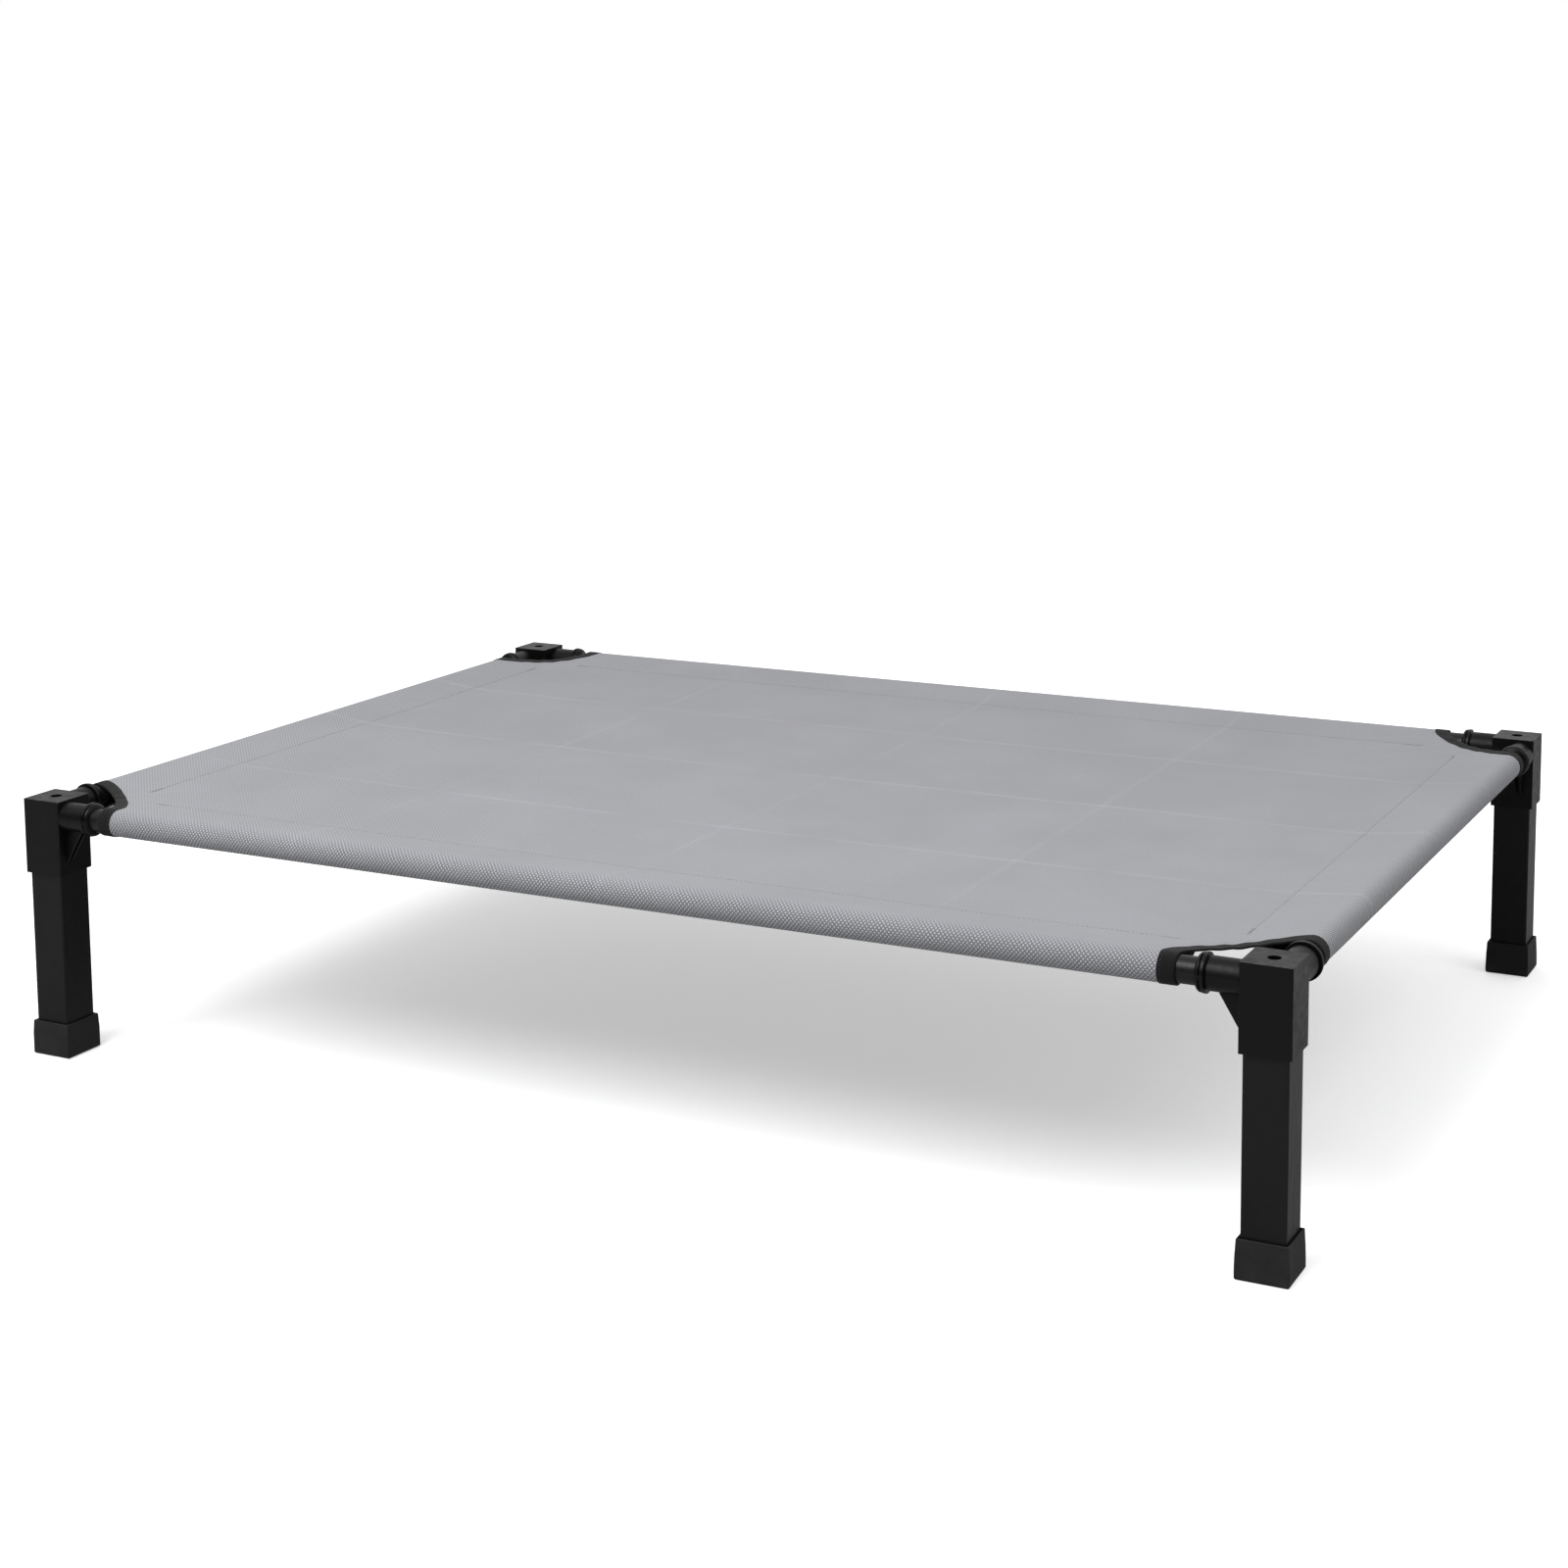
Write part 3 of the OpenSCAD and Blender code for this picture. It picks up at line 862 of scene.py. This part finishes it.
def tape_material():
    """Ribbed binding tape: close ribs across its width and finer yarns along it."""
    n = Nodes("ribbed_tape")
    run, across = n.split(n.pattern())
    rib = n.math("SINE", n.math("MULTIPLY", run, 2 * math.pi / TAPE_RIB))
    rib = n.math("MULTIPLY_ADD", rib, 0.5, 0.5)
    yarn = n.math("SINE", n.math("MULTIPLY", across, 2 * math.pi / TAPE_YARN))
    height = n.math("MULTIPLY_ADD", yarn, 0.18, rib)
    fuzz = n.noise(n.place(), 900, 3)
    dust = n.noise(n.place(), 60, 4)
    # painted shade: the grooves between ribs and yarns are darker than their tops; fuzz and dust vary
    # the tone at random
    share = n.math("MULTIPLY", n.ramp(height, 0.2, 1.1), n.ramp(fuzz, 0.25, 0.75, 0.6, 1.0))
    share = n.math("MULTIPLY", share, n.ramp(dust, 0.3, 0.7, 0.75, 1.0))
    n.feed(n.shader.inputs["Base Color"], n.blend(share, grey(0.003), grey(0.015)))
    n.feed(n.shader.inputs["Roughness"], n.ramp(fuzz, 0.3, 0.7, 0.70, 0.90))
    n.shader.inputs["Specular IOR Level"].default_value = 0.11
    n.shader.inputs["Sheen Weight"].default_value = 0.06
    n.shader.inputs["Sheen Roughness"].default_value = 0.5
    n.feed(n.shader.inputs["Normal"], n.bump(height, 0.16 * MM))
    return n.material


def thread_material(name, dark, light):
    """Twisted polyester thread."""
    n = Nodes(name)
    twist = n.noise(n.place(), 2400, 2)
    colour = n.blend(n.ramp(twist, 0.3, 0.7), grey(dark), grey(light))
    n.feed(n.shader.inputs["Base Color"], colour)
    n.feed(n.shader.inputs["Roughness"], n.ramp(twist, 0.3, 0.7, 0.45, 0.65))
    n.feed(n.shader.inputs["Normal"], n.bump(twist, 0.05 * MM))
    return n.material


def plastic_material(name, dark, light, roughness, grain):
    """Moulded plastic: spark-eroded grain, slow flow marks, and handling marks in the gloss."""
    n = Nodes(name)
    place = n.place()
    fine = n.noise(place, 1 / grain, 2, 0.6)
    flow = n.noise(place, 22, 4)
    rubbed = n.noise(place, 130, 5, 0.7)
    colour = n.blend(n.ramp(flow, 0.3, 0.7), grey(dark), grey(light))
    n.feed(n.shader.inputs["Base Color"], colour)
    gloss = n.math("ADD", n.ramp(rubbed, 0.35, 0.7, roughness + 0.06, roughness - 0.06),
                   n.ramp(flow, 0.3, 0.7, -0.03, 0.03))
    n.feed(n.shader.inputs["Roughness"], gloss)
    n.shader.inputs["Specular IOR Level"].default_value = 0.14
    n.feed(n.shader.inputs["Normal"], n.bump(fine, 0.05 * MM, 0.8))
    return n.material


def powder_coat_material(name, dark, light, roughness):
    """Powder-coated steel: orange peel, a slightly cloudy colour, and thin scuffs."""
    n = Nodes(name)
    place = n.place()
    peel = n.noise(place, 1100, 2)
    cloud = n.noise(place, 14, 4)
    stretch = n.add("ShaderNodeVectorMath", operation="MULTIPLY")
    n.feed(stretch.inputs[0], place)
    n.feed(stretch.inputs[1], (1, 1, 0.08))
    scuff = n.noise(stretch.outputs[0], 420, 5, 0.7)
    colour = n.blend(n.ramp(cloud, 0.3, 0.7), grey(dark), grey(light))
    n.feed(n.shader.inputs["Base Color"], colour)
    worn = n.ramp(scuff, 0.4, 0.75, roughness + 0.05, roughness - 0.08)
    n.feed(n.shader.inputs["Roughness"], worn)
    n.shader.inputs["Specular IOR Level"].default_value = 0.21
    n.feed(n.shader.inputs["Normal"], n.bump(peel, 0.07 * MM, 0.7))
    return n.material


DUST_HEIGHT = 9 * MM


def rubber_material():
    """Matt rubber: dull, slightly greyer, with dust where it meets the floor."""
    n = Nodes("foot_rubber")
    place = n.place()
    height = n.add("ShaderNodeSeparateXYZ")
    n.feed(height.inputs[0], place)
    fine = n.noise(place, 1500, 3)
    cloud = n.noise(place, 70, 4)
    low = n.ramp(height.outputs[2], 0.0, DUST_HEIGHT, 1.0, 0.0)
    dust = n.math("MULTIPLY", low, n.ramp(cloud, 0.35, 0.7))
    base = n.blend(n.ramp(cloud, 0.3, 0.7), grey(0.011), grey(0.017))
    n.feed(n.shader.inputs["Base Color"], n.blend(n.math("MULTIPLY", dust, 0.3), base, grey(0.06)))
    n.feed(n.shader.inputs["Roughness"], n.ramp(cloud, 0.3, 0.7, 0.62, 0.75))
    n.shader.inputs["Specular IOR Level"].default_value = 0.22
    n.feed(n.shader.inputs["Normal"], n.bump(fine, 0.06 * MM))
    return n.material


# ---- frame parts ----

# Faces that differ by less than the first angle are one flat face, edges sharper than the
# second one are rounded
FLAT_ANGLE = math.radians(0.6)
SHARP_ANGLE = math.radians(40)
WELD_DISTANCE = 0.001 * MM


def soften_edges(part, width):
    """Rounds the sharp edges of a frame part. Its own mesh stays as it is."""
    weld = part.modifiers.new("Weld", "WELD")
    weld.merge_threshold = WELD_DISTANCE
    merge = part.modifiers.new("Merge flat faces", "DECIMATE")
    merge.decimate_type = "DISSOLVE"
    merge.angle_limit = FLAT_ANGLE
    bevel = part.modifiers.new("Round edges", "BEVEL")
    bevel.width = width
    bevel.segments = 2
    bevel.limit_method = "ANGLE"
    bevel.angle_limit = SHARP_ANGLE
    bevel.use_clamp_overlap = True
    shade = part.modifiers.new("Smooth shading", "WEIGHTED_NORMAL")
    shade.keep_sharp = True


# Width of the round edges of each kind of part
EDGES = {
    "connector": 0.22 * MM,
    "collar": 0.15 * MM,
    "tube": 0.2 * MM,
    "leg": 0.25 * MM,
    "foot": 0.4 * MM,
}


def finish_frame_parts():
    finishes = {
        "connector": plastic_material("connector_plastic", 0.0025, 0.0040, 0.40, 0.35 * MM),
        "collar": plastic_material("collar_plastic", 0.0025, 0.0040, 0.32, 0.3 * MM),
        "tube": powder_coat_material("tube_coating", 0.005, 0.009, 0.36),
        "leg": powder_coat_material("leg_coating", 0.0025, 0.0045, 0.42),
        "foot": rubber_material(),
    }
    for name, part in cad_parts.items():
        kind = name.split("_")[0]
        if kind in finishes:
            part.data.materials.clear()
            part.data.materials.append(finishes[kind])
            soften_edges(part, EDGES[kind])


# ---- studio ----

CAMERA_PLACE = (1.005, -1.970, 0.735)
CAMERA_LENS = 60.75
CAMERA_SENSOR = 36
CAMERA_SHIFT = (-0.045, -0.1875)
CAMERA_AZIMUTH = math.radians(26.18)
CAMERA_ELEVATION = math.radians(7.32)
CAMERA_ROLL = math.radians(-0.32)


def make_camera():
    data = bpy.data.cameras.new("camera")
    data.lens = CAMERA_LENS
    data.sensor_width = CAMERA_SENSOR
    data.shift_x, data.shift_y = CAMERA_SHIFT
    data.clip_end = 100
    camera = bpy.data.objects.new("camera", data)
    tilt = Euler((math.pi / 2 - CAMERA_ELEVATION, 0, CAMERA_AZIMUTH)).to_matrix()
    tilt = tilt @ Euler((0, 0, CAMERA_ROLL)).to_matrix()
    camera.matrix_world = tilt.to_4x4()
    camera.location = CAMERA_PLACE
    bpy.context.scene.collection.objects.link(camera)
    bpy.context.scene.camera = camera


FLOOR_SIZE = 40
# The floor's glow grows between these two distances from a place below the cot
GLOW_CENTRE = (-0.35, 0.05, 0)
GLOW_NEAR = 0.5
GLOW_FAR = 3.3


def make_floor():
    n = Nodes("pale_floor")
    mottle = n.noise(n.place(), 3, 3)
    seen = n.add("ShaderNodeLightPath").outputs["Is Camera Ray"]
    # it throws less light back up at the cot than a white floor would
    pale = n.blend(n.ramp(mottle, 0.3, 0.7), grey(0.80), grey(0.82))
    n.feed(n.shader.inputs["Base Color"], n.blend(seen, grey(0.42), pale))
    n.shader.inputs["Roughness"].default_value = 0.9
    n.shader.inputs["Specular IOR Level"].default_value = 0.1
    n.shader.inputs["Emission Color"].default_value = (1, 1, 1, 1)
    # it glows more away from the cot, where it runs out into the white background
    far = n.add("ShaderNodeVectorMath", operation="DISTANCE")
    n.feed(far.inputs[0], n.place())
    n.feed(far.inputs[1], GLOW_CENTRE)
    glow = n.ramp(far.outputs["Value"], GLOW_NEAR, GLOW_FAR, 0.42, 1.0)
    glow = n.math("MULTIPLY", glow, n.ramp(seen, 0, 1, 0.15, 1.0))
    n.feed(n.shader.inputs["Emission Strength"], glow)
    size = FLOOR_SIZE
    corners = [(-size, -size, 0), (size, -size, 0), (size, size, 0), (-size, size, 0)]
    floor = new_object("studio_floor", corners, [[0, 1, 2, 3]], n.material)


LIGHT_TARGET = Vector((0, 0, 0.15))


def add_light(name, place, size, power):
    data = bpy.data.lights.new(name, "AREA")
    data.shape = "RECTANGLE"
    data.size, data.size_y = size
    data.energy = power
    light = bpy.data.objects.new(name, data)
    light.location = place
    aim = LIGHT_TARGET - Vector(place)
    light.rotation_euler = aim.to_track_quat("-Z", "Y").to_euler()
    bpy.context.scene.collection.objects.link(light)


# Direction from which most of the studio's light comes. The ramp gives two shares of a
# direction along it, and the light from those two.
WORLD_BRIGHT_SIDE = Vector((0.0, 0.60, 0.80))
WORLD_RAMP = (-0.35, 0.9, 0.03, 1.0)


def make_world():
    """A white studio that is darker in front and below. The camera sees it as plain white."""
    world = bpy.data.worlds.new("studio")
    world.use_nodes = True
    tree = world.node_tree
    tree.nodes.clear()
    place = tree.nodes.new("ShaderNodeTexCoord")
    toward = tree.nodes.new("ShaderNodeVectorMath")
    toward.operation = "DOT_PRODUCT"
    toward.inputs[1].default_value = WORLD_BRIGHT_SIDE
    tree.links.new(place.outputs["Generated"], toward.inputs[0])
    level = tree.nodes.new("ShaderNodeMapRange")
    level.interpolation_type = "SMOOTHSTEP"
    for socket, number in zip(level.inputs[1:5], WORLD_RAMP):
        socket.default_value = number
    tree.links.new(toward.outputs["Value"], level.inputs[0])
    seen = tree.nodes.new("ShaderNodeLightPath")
    pick = tree.nodes.new("ShaderNodeMix")
    pick.inputs["B"].default_value = 1.0
    tree.links.new(seen.outputs["Is Camera Ray"], pick.inputs["Factor"])
    tree.links.new(level.outputs[0], pick.inputs["A"])
    shade = tree.nodes.new("ShaderNodeBackground")
    shade.inputs["Color"].default_value = (1, 1, 1, 1)
    tree.links.new(pick.outputs["Result"], shade.inputs["Strength"])
    out = tree.nodes.new("ShaderNodeOutputWorld")
    tree.links.new(shade.outputs[0], out.inputs[0])
    bpy.context.scene.world = world


def make_studio():
    make_camera()
    make_floor()
    make_world()
    add_light("overhead_softbox", place=(-0.50, -1.82, 2.3), size=(1.9, 1.5), power=76)
    add_light("right_softbox", place=(2.0, -0.1, 2.3), size=(1.4, 1.4), power=12)
    bpy.context.scene.view_settings.view_transform = "Standard"


# ---- assembly ----

make_studio()
finish_frame_parts()

cover, cover_flat, cover_area = make_cover(cloth_material())
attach(cover, "root")
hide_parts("cover")

tape_finish = tape_material()
for corner in CORNERS:
    tape = make_tape(corner, tape_finish)
    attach(tape, "root")
    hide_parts("corner_binding_" + corner)

seam_thread = sew("hem_stitching", seam_rows(), length=3.0 * MM, radius=0.27 * MM,
                  material=thread_material("grey_thread", 0.18, 0.25))
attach(seam_thread, "root")
tape_thread = sew("tape_stitching", tape_rows(), length=2.6 * MM, radius=0.22 * MM,
                  material=thread_material("black_thread", 0.008, 0.02))
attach(tape_thread, "root")
